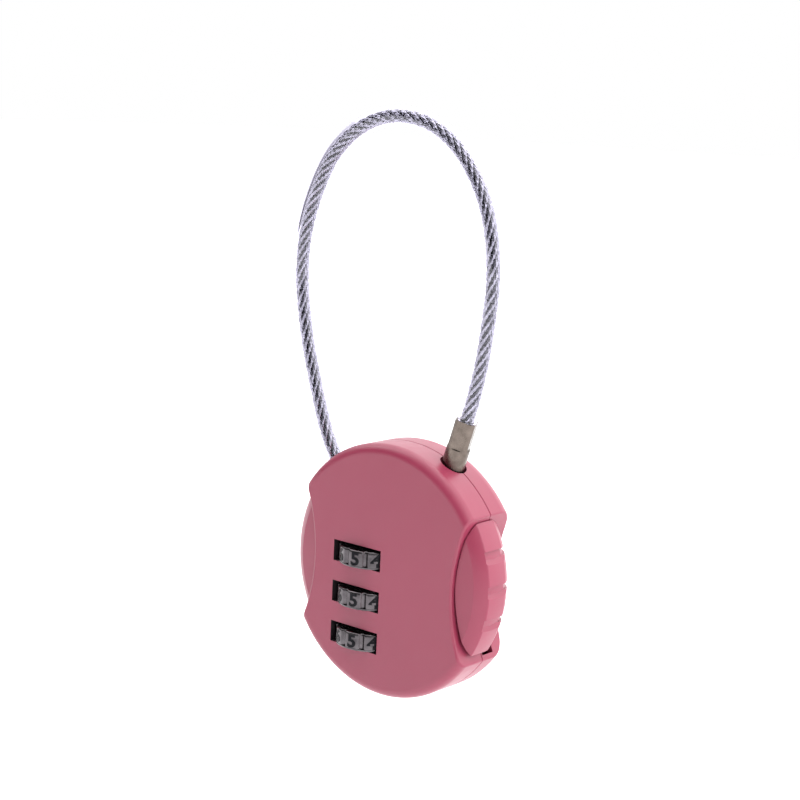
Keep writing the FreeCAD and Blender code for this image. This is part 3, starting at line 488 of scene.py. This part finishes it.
def make_camera():
    """A camera placed by azimuth, elevation and roll. Its axes are right, up and back to the viewer."""
    a, e, r = (math.radians(v) for v in (CAMERA_AZIMUTH, CAMERA_ELEVATION, CAMERA_ROLL))
    back = Vector((math.sin(a) * math.cos(e), -math.cos(a) * math.cos(e), math.sin(e)))
    level = Vector((math.cos(a), math.sin(a), 0))
    rise = back.cross(level)
    right = level * math.cos(r) + rise * math.sin(r)
    up = rise * math.cos(r) - level * math.sin(r)
    data = bpy.data.cameras.new("camera")
    data.sensor_width = 36
    data.lens = CAMERA_LENS
    data.clip_start = 0.01
    data.clip_end = 20
    camera = bpy.data.objects.new("camera", data)
    bpy.context.scene.collection.objects.link(camera)
    aim = Vector((0, AIM_BEHIND + PARTING_Y, 0)) + up * AIM_ABOVE - right * AIM_LEFT
    camera.matrix_world = Matrix.Translation(aim + back * CAMERA_DISTANCE) @ Matrix(
        (right, up, back)).transposed().to_4x4()
    bpy.context.scene.camera = camera


def area_light(name, position, target, width, height, power):
    data = bpy.data.lights.new(name, "AREA")
    data.shape = "RECTANGLE"
    data.size = width
    data.size_y = height
    data.energy = power
    light = bpy.data.objects.new(name, data)
    bpy.context.scene.collection.objects.link(light)
    position = Vector(position)
    light.location = position
    light.rotation_euler = (Vector(target) - position).to_track_quat("-Z", "Y").to_euler()


def make_floor():
    shape = bmesh.new()
    bmesh.ops.create_grid(shape, x_segments=1, y_segments=1, size=FLOOR_REACH)
    floor = mesh_object("floor", shape, pale_floor())
    floor.location.z = FLOOR_Z


def pale_floor():
    """A pale matt floor that glows with distance, so it meets the background without a line."""
    m = Nodes("pale_floor")
    m.two_tone(m.noise(0.01, 2), (0.93, 0.93, 0.94), (0.95, 0.95, 0.955))
    m.set(Roughness=0.9, Emission_Color=(1, 1, 1, 1))
    distance = m.add("VectorMath", operation="LENGTH")
    m.join(m.add("TexCoord").outputs["Object"], distance.inputs[0])
    glow = m.add("MapRange")
    for key, value in (("From Min", 0.25), ("From Max", 1.6), ("To Min", 0.0), ("To Max", 0.6)):
        glow.inputs[key].default_value = value
    m.join(distance.outputs["Value"], glow.inputs["Value"])
    m.join(glow.outputs["Result"], m.shader.inputs["Emission Strength"])
    return m.material


def make_world():
    """White to the camera. To everything else it is brighter above, behind and to the right."""
    world = bpy.data.worlds.new("studio")
    bpy.context.scene.world = world
    world.use_nodes = True
    tree = world.node_tree
    background = tree.nodes["Background"]
    background.inputs["Color"].default_value = (1, 1, 1, 1)
    coordinates = tree.nodes.new("ShaderNodeTexCoord")
    toward = tree.nodes.new("ShaderNodeVectorMath")
    toward.operation = "DOT_PRODUCT"
    toward.inputs[1].default_value = (0.30, 0.65, 0.70)
    ramp = tree.nodes.new("ShaderNodeMapRange")
    for key, value in (("From Min", -0.3), ("From Max", 0.9), ("To Min", 0.05), ("To Max", 2.8)):
        ramp.inputs[key].default_value = value
    path = tree.nodes.new("ShaderNodeLightPath")
    mix = tree.nodes.new("ShaderNodeMix")
    mix.inputs["B"].default_value = 1.0
    tree.links.new(coordinates.outputs["Generated"], toward.inputs[0])
    tree.links.new(toward.outputs["Value"], ramp.inputs["Value"])
    tree.links.new(path.outputs["Is Camera Ray"], mix.inputs["Factor"])
    tree.links.new(ramp.outputs["Result"], mix.inputs["A"])
    tree.links.new(mix.outputs["Result"], background.inputs["Strength"])


def make_lights():
    area_light("key_right", (0.55, -0.05, 0.25), (0, 0, 0.01), 0.35, 0.5, 0.8)
    area_light("top_left", (-0.38, -0.06, 0.46), (0, 0, 0.01), 0.4, 0.4, 1.1)
    area_light("top", (0.02, 0.10, 0.60), (0, 0, 0.02), 0.5, 0.4, 1.2)


make_camera()
bpy.context.scene.view_settings.view_transform = "Standard"
paint_nodes()
make_cable()
make_wheels()
make_floor()
make_world()
make_lights()
